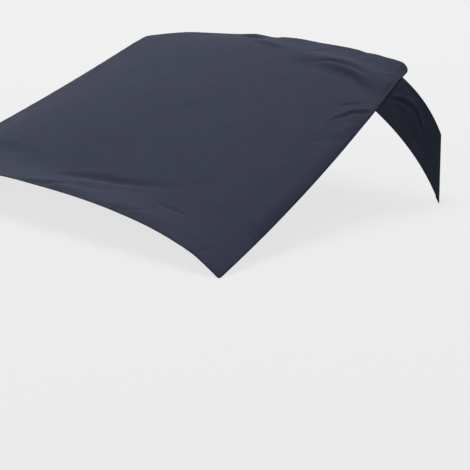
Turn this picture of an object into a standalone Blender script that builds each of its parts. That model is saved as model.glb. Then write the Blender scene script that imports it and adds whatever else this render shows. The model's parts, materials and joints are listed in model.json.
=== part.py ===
"""Frost cover for a windshield: one hemmed cloth with two side flaps and four sewn-in magnets.

The cover keeps the shape of its spread state. It stands on its two bottom corners and on the
tips of its two flaps. X runs across the cover, Y from its bottom edge to its top edge, Z up.
"""

import math

import bmesh
import bpy
from mathutils import Matrix, Vector
from mathutils.bvhtree import BVHTree

# Cloth: one layer, and a hem of three layers turned to the underside
CLOTH = 0.0007
HEM_LAYERS = 3
HEM_WIDTH = 0.012
HEM_RUN_OUT = 0.002
SEAM_GAP = 0.0004

# Panel outline in plan, between its corners and between the middles of its edges
TOP_SPAN = 1.072
BOTTOM_SPAN = 1.402
PLAN_DEPTH = 0.916
TOP_SWEEP = 0.039
BOTTOM_SWEEP = 0.031
SIDE_BULGE = 0.008
TOP_CORNER_RADIUS = 0.014
BOTTOM_CORNER_RADIUS = 0.008

# Panel heights: rise of the top edge over the bottom edge, and how far each edge falls at its ends
CROWN_RISE = 0.268
TOP_DROP = 0.031
BOTTOM_DROP = 0.098
SIDE_SAG = 0.019
RIGHT_CORNER_DROOP = 0.015
LEFT_CORNER_DROOP = 0.001
CORNER_DROOP_WIDTH = 0.036
CORNER_DROOP_LENGTH = 0.085

# Centre line: a gentle lap at the top, a steep middle and an almost level lap at the bottom
TOP_LAP = 0.075
TOP_LAP_SLOPE = 6.5
BOTTOM_LAP = 0.115
BOTTOM_LAP_SLOPE = 2.5
KNEE_LENGTH = 0.030

# Shape of each edge between its middle and its ends: 1 is a parabola, 0 stays flat for longer
TOP_SWEEP_FORM = 0.59
TOP_DROP_FORM = 0.83
BOTTOM_SWEEP_FORM = 0.72
BOTTOM_DROP_FORM = 0.41

# Side flaps: where each seam starts and ends below the panel's top corner, and the outer end
SEAM_START = 0.044
SEAM_END = 0.213
FLAP_REACH = 0.720
FLAP_TIP_BACK = 0.149
END_EDGE_IN = 0.055
END_EDGE_FORWARD = 0.081
END_EDGE_RISE = 0.163
FLAP_CROWN_UPPER = 0.030
FLAP_CROWN_LOWER = 0.043
FLAP_WAVE = 0.004
TAIL_DEPTH = 0.066
TAIL_BEND = 0.008
TAIL_TURN = 46.0

# Magnets in round cloth pockets under the bottom hem
MAGNET_RADIUS = 0.010
MAGNET_THICKNESS = 0.002
MAGNET_EDGE = 0.0004
MAGNET_CLEARANCE = 0.0003
POCKET_RADIUS = 0.021
POCKET_WALL_RUN = 0.002
POCKET_FROM_BOTTOM = 0.038
CORNER_POCKET_FROM_SIDE = 0.046
INNER_POCKET_X = 0.235
POCKET_FLAT_ZONE = 0.045

# Numbers of cells in the cloth meshes, whose rows are closer in the zones at both ends
PANEL_COLUMNS = 40
TOP_ROWS = 11
MIDDLE_ROWS = 15
BOTTOM_ROWS = 12
TOP_ZONE = 0.170
BOTTOM_ZONE = 0.190
FLAP_COLUMNS = 10
FLAP_ROWS = 7
BEND_CELLS = 4
HEM_CORNERS = 2

# Turned pieces, and the rings of places where the panel is measured under a pocket
TURN_STEPS = 24
SEAT_RINGS = 3
MERGE_DISTANCE = 0.00001

# Folds in the panel: a name, plan points in metres, half width and height (a valley is negative)
FOLDS = (
    ("top_ridge", ((0.05, 0.415), (0.225, 0.408), (0.38, 0.386)), 0.026, 0.0055),
    ("top_valley", ((0.20, 0.352), (0.32, 0.366), (0.40, 0.344), (0.51, 0.292)), 0.030, -0.0075),
    ("top_middle_crease", ((-0.09, 0.405), (0.01, 0.386), (0.10, 0.378)), 0.020, -0.0030),
    ("right_seam_crease", ((0.545, 0.205), (0.50, 0.142), (0.494, 0.075), (0.49, -0.01)), 0.030, -0.0055),
    ("right_seam_ridge", ((0.53, 0.250), (0.47, 0.160), (0.455, 0.07)), 0.028, 0.0035),
    ("left_seam_crease", ((-0.545, 0.205), (-0.49, 0.135), (-0.475, 0.05)), 0.030, -0.0045),
    ("left_top_valley", ((-0.47, 0.300), (-0.36, 0.345), (-0.24, 0.362)), 0.028, -0.0050),
    ("bottom_valley", ((-0.30, -0.375), (-0.03, -0.342), (0.15, -0.319), (0.33, -0.297)), 0.036, -0.0080),
    ("bottom_ridge", ((-0.20, -0.420), (0.10, -0.389), (0.25, -0.375), (0.39, -0.400)), 0.026, 0.0055),
    ("right_side_hollow", ((0.50, -0.37), (0.578, -0.282), (0.588, -0.147), (0.570, 0.04)), 0.075, -0.0075),
    ("left_side_hollow", ((-0.50, -0.37), (-0.575, -0.27), (-0.575, -0.13), (-0.55, 0.06)), 0.075, -0.0065),
    ("left_corner_dip", ((-0.47, -0.30), (-0.40, -0.262), (-0.33, -0.25)), 0.045, -0.0050),
)
FOLD_FADE = 0.090

# Sizes that follow from those above, and the step that a slope is measured over
HEM = HEM_LAYERS * CLOTH
HALF_DEPTH = PLAN_DEPTH / 2
SIDE_LENGTH = math.hypot(
    PLAN_DEPTH - TOP_SWEEP + BOTTOM_SWEEP,
    CROWN_RISE - TOP_DROP + BOTTOM_DROP,
    (BOTTOM_SPAN - TOP_SPAN) / 2,
)
NORMAL_STEP = 0.0005


def mix(a, b, share):
    return a + (b - a) * share


def ease(share):
    """Smooth step from 0 to 1."""
    share = min(max(share, 0.0), 1.0)
    return share * share * (3 - 2 * share)


def ramp(distance, length):
    """A ramp of slope 1 that starts at 0 and is rounded over a length."""
    return 0.5 * (distance + math.hypot(distance, length))


def slope_of(degrees):
    return math.tan(math.radians(degrees))


def half_width(t):
    """Half width of the panel at t, which is 0 on its top edge and 1 on its bottom edge."""
    return mix(TOP_SPAN, BOTTOM_SPAN, t) / 2 + SIDE_BULGE * 4 * t * (1 - t)


def knees(distance, middle_slope):
    """Height lost from the top edge along the centre line, with both bends rounded."""
    top, bottom = slope_of(TOP_LAP_SLOPE), slope_of(BOTTOM_LAP_SLOPE)
    lost = top * distance
    lost += (middle_slope - top) * ramp(distance - TOP_LAP, KNEE_LENGTH)
    lost -= (middle_slope - bottom) * ramp(distance - PLAN_DEPTH + BOTTOM_LAP, KNEE_LENGTH)
    return lost


def centre_height(t):
    """Height of the panel's centre line over the bottom corners."""
    laps = slope_of(TOP_LAP_SLOPE) * TOP_LAP + slope_of(BOTTOM_LAP_SLOPE) * BOTTOM_LAP
    steep = (CROWN_RISE - laps) / (PLAN_DEPTH - TOP_LAP - BOTTOM_LAP)
    start = knees(0.0, steep)
    whole = knees(PLAN_DEPTH, steep) - start
    lost = (knees(t * PLAN_DEPTH, steep) - start) * CROWN_RISE / whole
    return BOTTOM_DROP + CROWN_RISE - lost


def side_height(t):
    """Height of the panel's side edge over the bottom corners."""
    top_corner = BOTTOM_DROP + CROWN_RISE - TOP_DROP
    return top_corner * (1 - t) - SIDE_SAG * 4 * t * (1 - t)


def edge_form(share, form):
    """How far an edge has swung from its middle, 0, to its end, 1."""
    return form * share**2 + (1 - form) * share**4


def corner_droop(x, t):
    """The right top corner hangs over its flap. The left one lies almost level."""
    from_side = half_width(t) - abs(x)
    sideways = ease(1 - from_side / CORNER_DROOP_WIDTH)
    downwards = ease(1 - t * SIDE_LENGTH / CORNER_DROOP_LENGTH)
    depth = RIGHT_CORNER_DROOP if x > 0 else LEFT_CORNER_DROOP
    return depth * sideways * downwards


def along_path(x, y, path):
    """Distance from a path in plan, and the distance to the nearer of its ends."""
    point = Vector((x, y))
    best = None
    walked = 0.0
    for start, end in zip(path, path[1:]):
        start, run = Vector(start), Vector(end) - Vector(start)
        share = min(max((point - start).dot(run) / run.length_squared, 0.0), 1.0)
        gap = (point - start - run * share).length
        if best is None or gap < best[0]:
            best = (gap, walked + run.length * share)
        walked += run.length
    gap, place = best
    return gap, min(place, walked - place)


def fold_height(x, y):
    height = 0.0
    for _name, path, width, rise in FOLDS:
        gap, to_end = along_path(x, y, path)
        if gap < width:
            height += rise * (1 - (gap / width) ** 2) ** 2 * ease(to_end / FOLD_FADE)
    return height


def pocket_places():
    """Where the four magnets are: distance across, and distance from the bottom edge."""
    corner = BOTTOM_SPAN / 2 - CORNER_POCKET_FROM_SIDE
    return [(x, POCKET_FROM_BOTTOM) for x in (-corner, -INNER_POCKET_X, INNER_POCKET_X, corner)]


def fold_freedom(x, t):
    """Folds die out at the hems and over the magnets, where the cloth is held flat."""
    from_side = half_width(t) - abs(x)
    from_end = min(t, 1 - t) * SIDE_LENGTH
    free = ease((min(from_side, from_end) - HEM_WIDTH - HEM_RUN_OUT) / HEM_WIDTH)
    for place_x, from_bottom in pocket_places():
        gap = math.hypot(x - place_x, (1 - t) * PLAN_DEPTH - from_bottom)
        free *= ease((gap - POCKET_RADIUS) / POCKET_FLAT_ZONE)
    return free


def panel_point(x, t):
    """A point of the panel's upper face."""
    share = abs(x) / half_width(t)
    sweep = mix(TOP_SWEEP, BOTTOM_SWEEP, t)
    swung = edge_form(share, mix(TOP_SWEEP_FORM, BOTTOM_SWEEP_FORM, t))
    y = mix(HALF_DEPTH, -HALF_DEPTH, t) - sweep * swung
    fall = centre_height(t) - side_height(t)
    z = centre_height(t) - fall * edge_form(share, mix(TOP_DROP_FORM, BOTTOM_DROP_FORM, t))
    z += fold_height(x, y) * fold_freedom(x, t) - corner_droop(x, t)
    return Vector((x, y, z))


def panel_normal(x, t):
    across = panel_point(x + NORMAL_STEP, t) - panel_point(x - NORMAL_STEP, t)
    down = panel_point(x, t + NORMAL_STEP) - panel_point(x, t - NORMAL_STEP)
    return down.cross(across).normalized()


def round_corner(from_side, from_end, radius):
    """Pull a point near a square corner inside a round one."""
    if from_side >= radius or from_end >= radius:
        return from_side, from_end
    a, b = radius - from_side, radius - from_end
    squash_a = math.sqrt(1 - b**2 / (2 * radius**2))
    squash_b = math.sqrt(1 - a**2 / (2 * radius**2))
    return radius - a * squash_a, radius - b * squash_b


def even_steps(start, end, count):
    return [mix(start, end, i / count) for i in range(count + 1)]


def hemmed_steps(length, inner_steps):
    """Places across a cloth, from 0 to its length, with both hems and their run-outs."""
    solid = HEM_WIDTH - HEM_RUN_OUT
    return [0.0, solid] + inner_steps + [length - solid, length]


def grid_mesh(columns, rows, place):
    """A cloth mesh from a flat grid, whose corners go where place(column, row) says."""
    mesh = bmesh.new()
    bmesh.ops.create_grid(mesh, x_segments=columns - 1, y_segments=rows - 1, size=1.0)
    for vert in mesh.verts:
        column = round((vert.co.x + 1) / 2 * (columns - 1))
        row = rows - 1 - round((vert.co.y + 1) / 2 * (rows - 1))
        vert.co = place(column, row)
    return mesh


def cloth_object(name, mesh, columns, rows, open_sides, material, collection):
    """A solid cloth: its outer face is the mesh, and its hems are thicker on the inside."""
    data = bpy.data.meshes.new(name)
    mesh.to_mesh(data)
    mesh.free()
    data.shade_smooth()
    data.materials.append(material)
    cloth = bpy.data.objects.new(name, data)
    collection.objects.link(cloth)
    hem = cloth.vertex_groups.new(name="hem")
    everywhere = list(range(len(data.vertices)))
    in_hems = []
    for index in everywhere:
        column, row = index % columns, rows - 1 - index // columns
        edges = {"left": column, "right": columns - 1 - column, "top": row, "bottom": rows - 1 - row}
        if any(steps < HEM_CORNERS for side, steps in edges.items() if side not in open_sides):
            in_hems.append(index)
    hem.add(everywhere, 1 / HEM_LAYERS, "REPLACE")
    hem.add(in_hems, 1.0, "REPLACE")
    solid = cloth.modifiers.new("thickness", "SOLIDIFY")
    solid.thickness = HEM
    solid.offset = -1.0
    solid.vertex_group = "hem"
    return cloth


def steps_across(half):
    """Places across the panel, from its left side to its right side, for a half width."""
    return hemmed_steps(2 * half, even_steps(HEM_WIDTH, 2 * half - HEM_WIDTH, PANEL_COLUMNS))


def make_panel(material, collection):
    inner = [HEM_WIDTH] + even_steps(HEM_WIDTH, TOP_ZONE, TOP_ROWS)[1:]
    inner += even_steps(TOP_ZONE, SIDE_LENGTH - BOTTOM_ZONE, MIDDLE_ROWS)[1:]
    inner += even_steps(SIDE_LENGTH - BOTTOM_ZONE, SIDE_LENGTH - HEM_WIDTH, BOTTOM_ROWS)[1:]
    down = hemmed_steps(SIDE_LENGTH, inner)
    columns, rows = len(steps_across(half_width(0.0))), len(down)

    def place(column, row):
        from_top = down[row]
        half = half_width(from_top / SIDE_LENGTH)
        x = steps_across(half)[column] - half
        from_side, from_end = round_corner(half - abs(x), from_top, TOP_CORNER_RADIUS)
        from_side, to_bottom = round_corner(from_side, SIDE_LENGTH - from_end, BOTTOM_CORNER_RADIUS)
        t = 1 - to_bottom / SIDE_LENGTH
        return panel_point(math.copysign(half - from_side, x), t)

    mesh = grid_mesh(columns, rows, place)
    return cloth_object("main_panel", mesh, columns, rows, (), material, collection)


def world_corners(objects):
    """Every corner of the finished objects, in world coordinates."""
    graph = bpy.context.evaluated_depsgraph_get()
    corners = []
    for item in objects:
        finished = item.evaluated_get(graph)
        corners += [finished.matrix_world @ vert.co for vert in finished.data.vertices]
    return corners


def lowest_of(objects):
    return min(corner.z for corner in world_corners(objects))


def seam_point(from_side, share):
    """A point just under the panel's hem, at a share of the way down the seam."""
    t = mix(SEAM_START, SEAM_END, share) / SIDE_LENGTH
    x = half_width(t) - from_side
    return panel_point(x, t) - panel_normal(x, t) * (HEM + SEAM_GAP)


def end_point(share, level):
    """A point of the flap's outer end edge, from its upper corner to its tip."""
    back = HALF_DEPTH - FLAP_TIP_BACK
    tip = Vector((FLAP_REACH, back, level))
    upper = tip + Vector((-END_EDGE_IN, END_EDGE_FORWARD, END_EDGE_RISE))
    return upper.lerp(tip, share)


def flap_curve(share, level):
    """Start, middle control point and end of the flap's curve at a share of the way down."""
    start, end = seam_point(0.0, share), end_point(share, level)
    seam = seam_point(0.0, 1.0) - seam_point(0.0, 0.0)
    outwards = seam.cross(end - start).normalized()
    middle = (start + end) / 2 + outwards * mix(FLAP_CROWN_UPPER, FLAP_CROWN_LOWER, share)
    return start, middle, end


def bezier(start, middle, end, share):
    return start.lerp(middle, share).lerp(middle.lerp(end, share), share)


def tail_direction():
    """The tail runs level, inwards and forwards from the flap's end edge."""
    turn = math.radians(TAIL_TURN)
    return Vector((-math.cos(turn), math.sin(turn), 0.0))


def flap_place(share, level, lengthwise):
    """A point of the flap. lengthwise is a pair: the stretch's name and the place in it."""
    stretch, place = lengthwise
    if stretch == "seam":
        return seam_point(place, share)
    start, middle, end = flap_curve(share, level)
    inwards = tail_direction()
    before_bend = end + (middle - end).normalized() * TAIL_BEND
    if stretch == "face":
        wave = FLAP_WAVE * math.sin(2 * math.pi * (place + share / 2)) * math.sin(math.pi * place)
        wave *= math.sin(math.pi * share) ** 2
        outwards = (end - start).cross(Vector((0.0, 0.0, 1.0))).cross(end - start).normalized()
        return bezier(start, middle, before_bend, place) + outwards * wave
    if stretch == "bend":
        return bezier(before_bend, end, end + inwards * TAIL_BEND, place)
    return end + inwards * place


def make_flap(name, level, side, material, collection):
    """One side flap. Its inner edge is sewn under the panel, and its tail turns inwards."""
    hem_in, hem_out = HEM_WIDTH - HEM_RUN_OUT, HEM_WIDTH
    lengthwise = [("seam", hem_in), ("seam", 0.0)]
    lengthwise += [("face", (i + 1) / FLAP_COLUMNS) for i in range(FLAP_COLUMNS)]
    lengthwise += [("bend", (i + 1) / BEND_CELLS) for i in range(BEND_CELLS)]
    lengthwise += [("tail", TAIL_DEPTH / 2), ("tail", TAIL_DEPTH - hem_out)]
    lengthwise += [("tail", TAIL_DEPTH - hem_in), ("tail", TAIL_DEPTH)]
    seam_length = SEAM_END - SEAM_START
    inner = even_steps(hem_out, seam_length - hem_out, FLAP_ROWS)
    down = [place / seam_length for place in hemmed_steps(seam_length, inner)]
    columns, rows = len(lengthwise), len(down)

    def place(column, row):
        return flap_place(down[row], level, lengthwise[column])

    mesh = grid_mesh(columns, rows, place)
    if side < 0:
        bmesh.ops.scale(mesh, vec=(-1.0, 1.0, 1.0), verts=mesh.verts)
        bmesh.ops.reverse_faces(mesh, faces=mesh.faces)
    return cloth_object(name, mesh, columns, rows, ("left",), material, collection)


def seat_under(tree, x, from_bottom):
    """A frame on the panel's underside: Z along its normal, 0 where a flat disc would touch."""
    t = 1 - from_bottom / PLAN_DEPTH
    centre, normal = panel_point(x, t), panel_normal(x, t)
    across = Vector((1.0, 0.0, 0.0)).cross(normal).normalized()
    along = normal.cross(across)
    heights = []
    for reach in even_steps(0.0, POCKET_RADIUS, SEAT_RINGS):
        for step in range(TURN_STEPS):
            angle = 2 * math.pi * step / TURN_STEPS
            arm = (across * math.cos(angle) + along * math.sin(angle)) * reach
            hit = tree.ray_cast(centre + arm - normal * POCKET_RADIUS, normal)[0]
            if hit is not None:
                heights.append((hit - centre).dot(normal))
    origin = centre + normal * min(heights)
    axes = Matrix((across, along, normal)).transposed().to_4x4()
    return Matrix.Translation(origin) @ axes


def turned_object(name, outline, frame, material, collection):
    """A closed outline of (radius, height) points, turned about Z and set in a frame."""
    mesh = bmesh.new()
    corners = [mesh.verts.new((radius, 0.0, height)) for radius, height in outline]
    for first, second in zip(corners, corners[1:]):
        mesh.edges.new((first, second))
    data = bpy.data.meshes.new(name)
    mesh.to_mesh(data)
    mesh.free()
    data.materials.append(material)
    turned = bpy.data.objects.new(name, data)
    turned.matrix_world = frame
    collection.objects.link(turned)
    screw = turned.modifiers.new("turning", "SCREW")
    screw.steps = TURN_STEPS
    screw.render_steps = TURN_STEPS
    screw.use_merge_vertices = True
    screw.merge_threshold = MERGE_DISTANCE
    return turned


def make_magnet(name, frame, material, collection):
    top = -MAGNET_CLEARANCE
    bottom = top - MAGNET_THICKNESS
    outline = [
        (0.0, top),
        (MAGNET_RADIUS - MAGNET_EDGE, top),
        (MAGNET_RADIUS, top - MAGNET_EDGE),
        (MAGNET_RADIUS, bottom + MAGNET_EDGE),
        (MAGNET_RADIUS - MAGNET_EDGE, bottom),
        (0.0, bottom),
    ]
    return turned_object(name, outline, frame, material, collection)


def make_pocket(name, frame, material, collection):
    """A cloth disc whose middle dips under the magnet and whose rim lies against the panel."""
    rim_top = -MAGNET_CLEARANCE
    floor_top = rim_top - MAGNET_THICKNESS - MAGNET_CLEARANCE
    inside = MAGNET_RADIUS + MAGNET_CLEARANCE
    outline = [
        (0.0, floor_top),
        (inside, floor_top),
        (inside + POCKET_WALL_RUN, rim_top),
        (POCKET_RADIUS, rim_top),
        (POCKET_RADIUS, rim_top - CLOTH),
        (inside + POCKET_WALL_RUN + CLOTH, rim_top - CLOTH),
        (inside + CLOTH, floor_top - CLOTH),
        (0.0, floor_top - CLOTH),
    ]
    return turned_object(name, outline, frame, material, collection)


def principled(name, colour, roughness, metallic):
    material = bpy.data.materials.new(name)
    material.use_nodes = True
    shader = material.node_tree.nodes["Principled BSDF"]
    shader.inputs["Base Color"].default_value = (*colour, 1.0)
    shader.inputs["Roughness"].default_value = roughness
    shader.inputs["Metallic"].default_value = metallic
    return material


def clear_scene():
    for item in list(bpy.data.objects):
        bpy.data.objects.remove(item, do_unlink=True)


def centre_on_floor(parts, collection):
    """Hang the parts from one empty, which puts the origin under the middle of their box."""
    corners = world_corners(parts)
    along_x = [corner.x for corner in corners]
    along_y = [corner.y for corner in corners]
    root = bpy.data.objects.new("cover_origin", None)
    collection.objects.link(root)
    root.location = (
        -(min(along_x) + max(along_x)) / 2,
        -(min(along_y) + max(along_y)) / 2,
        -lowest_of(parts),
    )
    for part in parts:
        part.parent = root


def main():
    clear_scene()
    collection = bpy.data.collections.new("frost_cover")
    bpy.context.scene.collection.children.link(collection)
    cloth = principled("navy_woven_polyester", (0.048, 0.054, 0.082), 0.75, 0.0)
    flap_cloth = principled("navy_flap_polyester", (0.040, 0.046, 0.070), 0.75, 0.0)
    pocket_cloth = principled("navy_pocket_polyester", (0.030, 0.034, 0.050), 0.80, 0.0)
    nickel = principled("nickel_plate", (0.60, 0.58, 0.55), 0.30, 1.0)

    panel = make_panel(cloth, collection)
    level = lowest_of([panel])
    parts = [panel]
    parts.append(make_flap("right_side_flap", level, 1, flap_cloth, collection))
    parts.append(make_flap("left_side_flap", level, -1, flap_cloth, collection))

    tree = BVHTree.FromObject(panel, bpy.context.evaluated_depsgraph_get())
    for number, (x, from_bottom) in enumerate(pocket_places(), start=1):
        frame = seat_under(tree, x, from_bottom)
        parts.append(make_pocket(f"magnet_pocket_{number}", frame, pocket_cloth, collection))
        parts.append(make_magnet(f"magnet_{number}", frame, nickel, collection))
    centre_on_floor(parts, collection)


main()
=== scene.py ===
# %% [markdown]
# # A frost cover for a windshield
#
# The real object is one thin navy polyester cloth, cut as a trapezoid and hemmed all round. A
# flap of the same cloth is sewn under each side near the top, and four small magnets sit in round
# pockets under the bottom hem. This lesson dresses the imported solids: each cloth is made again as
# a fine sheet with its folded hem, its stitching and its wrinkles.

# %% Load the frame
import json
import math

import bmesh
import bpy
import numpy as np
from mathutils import Matrix, Vector, noise
from mathutils.bvhtree import BVHTree

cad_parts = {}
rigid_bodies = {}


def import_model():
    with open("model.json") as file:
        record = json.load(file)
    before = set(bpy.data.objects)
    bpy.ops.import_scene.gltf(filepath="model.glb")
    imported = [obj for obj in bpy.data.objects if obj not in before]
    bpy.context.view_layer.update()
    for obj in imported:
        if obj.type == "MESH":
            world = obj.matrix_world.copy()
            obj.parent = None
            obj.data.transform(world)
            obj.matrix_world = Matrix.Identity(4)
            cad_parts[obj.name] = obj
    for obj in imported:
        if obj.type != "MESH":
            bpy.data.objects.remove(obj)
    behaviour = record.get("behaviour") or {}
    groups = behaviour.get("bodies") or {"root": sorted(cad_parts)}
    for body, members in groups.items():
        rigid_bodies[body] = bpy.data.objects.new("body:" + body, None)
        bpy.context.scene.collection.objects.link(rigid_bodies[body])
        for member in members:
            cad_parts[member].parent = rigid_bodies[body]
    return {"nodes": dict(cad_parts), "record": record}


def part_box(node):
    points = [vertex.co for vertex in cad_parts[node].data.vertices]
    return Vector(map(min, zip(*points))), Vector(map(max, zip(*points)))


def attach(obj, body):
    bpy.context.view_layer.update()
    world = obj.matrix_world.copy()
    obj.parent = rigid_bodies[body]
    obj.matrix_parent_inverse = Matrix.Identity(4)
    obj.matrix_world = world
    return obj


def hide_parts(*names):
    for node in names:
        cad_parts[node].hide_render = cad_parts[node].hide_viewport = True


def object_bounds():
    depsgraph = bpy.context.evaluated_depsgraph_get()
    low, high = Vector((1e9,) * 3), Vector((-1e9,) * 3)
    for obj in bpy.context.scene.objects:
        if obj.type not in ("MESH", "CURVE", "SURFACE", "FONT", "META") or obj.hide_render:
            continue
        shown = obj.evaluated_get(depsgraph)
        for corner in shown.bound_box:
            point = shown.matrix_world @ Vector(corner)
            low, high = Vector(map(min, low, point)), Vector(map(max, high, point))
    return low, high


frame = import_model()
cad_low, cad_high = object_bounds()
nodes = frame["nodes"]
print("CAD box:", [round(high - low, 4) for low, high in zip(cad_low, cad_high)])

# %% [markdown]
# ## The camera
#
# The camera comes first, so that every piece can be judged in the same picture. It stands to the
# right of the cover's bottom edge and looks down over its right bottom corner. A long lens keeps
# the far side nearly as large as the near one. The camera also leans by 2 degrees.

# %% Camera
CAMERA_PLACE = Vector((2.7102, -2.4124, 0.9472))
CAMERA_TURN = math.radians(45.23)
CAMERA_DIP = math.radians(16.867)
CAMERA_LEAN = math.radians(-1.97)
CAMERA_LENS = 101.0
SENSOR_WIDTH = 36.0


def new_object(name, data):
    """An object in the scene for a mesh, a camera or a lamp."""
    made = bpy.data.objects.new(name, data)
    bpy.context.scene.collection.objects.link(made)
    return made


camera = new_object("photo_camera", bpy.data.cameras.new("photo_camera"))
camera.data.lens = CAMERA_LENS
camera.data.sensor_width = SENSOR_WIDTH
camera.matrix_world = (
    Matrix.Translation(CAMERA_PLACE)
    @ Matrix.Rotation(CAMERA_TURN, 4, "Z")
    @ Matrix.Rotation(math.pi / 2 - CAMERA_DIP, 4, "X")
    @ Matrix.Rotation(CAMERA_LEAN, 4, "Z")
)
bpy.context.scene.camera = camera
print("camera at", tuple(round(value, 3) for value in CAMERA_PLACE))

# %% [markdown]
# ## Small helpers
#
# Cloth is made from soft steps and blends, so a few one-line helpers carry most of the shape.
# They take numpy arrays as well as single numbers, which lets one call place a whole grid.


# %% Blends
def mix(a, b, share):
    return a + (b - a) * share


def ease(share):
    """Smooth step from 0 to 1."""
    share = np.clip(share, 0.0, 1.0)
    return share * share * (3 - 2 * share)


def ramp(distance, length):
    """A ramp of slope 1 that starts at 0 and is rounded over a length."""
    return 0.5 * (distance + np.hypot(distance, length))


def unit(vectors):
    return vectors / np.linalg.norm(vectors, axis=-1, keepdims=True)


# %% [markdown]
# ## The shape of the spread panel
#
# The panel is a trapezoid whose top and bottom edges bow, laid over a rounded form: a gentle lap
# at the top, a steep middle and an almost level lap at the bottom. The sizes are those of the
# solid, so the fine cloth lies where the solid does. Only the right top corner droops less and is
# rounder, as it is in the photograph. A place on the panel is given by x, across it, and by t,
# which is 0 on the top edge and 1 on the bottom edge.

# %% Panel sizes
CLOTH = 0.0007
HEM_LAYERS = 3
HEM = HEM_LAYERS * CLOTH
HEM_WIDTH = 0.012
TOP_SPAN = 1.072
BOTTOM_SPAN = 1.402
PLAN_DEPTH = 0.916
TOP_SWEEP = 0.039
BOTTOM_SWEEP = 0.031
SIDE_BULGE = 0.008
TOP_CORNER_RADIUS = 0.018
BOTTOM_CORNER_RADIUS = 0.008
CROWN_RISE = 0.268
TOP_DROP = 0.031
BOTTOM_DROP = 0.098
SIDE_SAG = 0.019
RIGHT_CORNER_DROOP = 0.010
LEFT_CORNER_DROOP = 0.001
CORNER_DROOP_WIDTH = 0.030
CORNER_DROOP_LENGTH = 0.085
TOP_LAP, TOP_LAP_SLOPE = 0.075, math.tan(math.radians(6.5))
BOTTOM_LAP, BOTTOM_LAP_SLOPE = 0.115, math.tan(math.radians(2.5))
KNEE_LENGTH = 0.030
TOP_SWEEP_FORM, TOP_DROP_FORM = 0.59, 0.83
BOTTOM_SWEEP_FORM, BOTTOM_DROP_FORM = 0.72, 0.41

HALF_DEPTH = PLAN_DEPTH / 2
SIDE_LENGTH = math.hypot(
    PLAN_DEPTH - TOP_SWEEP + BOTTOM_SWEEP,
    CROWN_RISE - TOP_DROP + BOTTOM_DROP,
    (BOTTOM_SPAN - TOP_SPAN) / 2,
)
print("side length of the panel:", round(SIDE_LENGTH, 3), "m")


# %% Panel form
def half_width(t):
    return mix(TOP_SPAN, BOTTOM_SPAN, t) / 2 + SIDE_BULGE * 4 * t * (1 - t)


def knees(distance, middle_slope):
    """Height lost from the top edge along the centre line, with both bends rounded."""
    lost = TOP_LAP_SLOPE * distance
    lost = lost + (middle_slope - TOP_LAP_SLOPE) * ramp(distance - TOP_LAP, KNEE_LENGTH)
    end = distance - PLAN_DEPTH + BOTTOM_LAP
    return lost - (middle_slope - BOTTOM_LAP_SLOPE) * ramp(end, KNEE_LENGTH)


def centre_height(t):
    laps = TOP_LAP_SLOPE * TOP_LAP + BOTTOM_LAP_SLOPE * BOTTOM_LAP
    steep = (CROWN_RISE - laps) / (PLAN_DEPTH - TOP_LAP - BOTTOM_LAP)
    start = knees(0.0, steep)
    whole = knees(PLAN_DEPTH, steep) - start
    return BOTTOM_DROP + CROWN_RISE * (1 - (knees(t * PLAN_DEPTH, steep) - start) / whole)


def side_height(t):
    return (BOTTOM_DROP + CROWN_RISE - TOP_DROP) * (1 - t) - SIDE_SAG * 4 * t * (1 - t)


def edge_form(share, form):
    return form * share**2 + (1 - form) * share**4


def corner_droop(x, t):
    """The right top corner hangs over its flap."""
    from_side = half_width(t) - np.abs(x)
    sideways = ease(1 - from_side / CORNER_DROOP_WIDTH)
    downwards = ease(1 - t * SIDE_LENGTH / CORNER_DROOP_LENGTH)
    depth = np.where(x > 0, RIGHT_CORNER_DROOP, LEFT_CORNER_DROOP)
    return depth * sideways * downwards


def plan_y(x, t):
    share = np.abs(x) / half_width(t)
    swung = edge_form(share, mix(TOP_SWEEP_FORM, BOTTOM_SWEEP_FORM, t))
    return mix(HALF_DEPTH, -HALF_DEPTH, t) - mix(TOP_SWEEP, BOTTOM_SWEEP, t) * swung


def smooth_height(x, t):
    share = np.abs(x) / half_width(t)
    fall = centre_height(t) - side_height(t)
    sunk = fall * edge_form(share, mix(TOP_DROP_FORM, BOTTOM_DROP_FORM, t))
    return centre_height(t) - sunk - corner_droop(x, t)


# %% [markdown]
# ## Wrinkles
#
# The cloth is held at its flaps and magnets, so its wrinkles have causes. Long folds run along
# the top lap, where the two flaps pull it sideways. Short sharp ones fan out from the lower end
# of the right seam. A valley and a ridge lie along the bottom lap, between the magnets. Each fold
# is a smooth curve through a few points. Every point has a place in plan and the fold's height
# there, in millimetres, and a valley's height is below zero. Across a fold the cloth follows a
# bell, whose half width is the first number.

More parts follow.
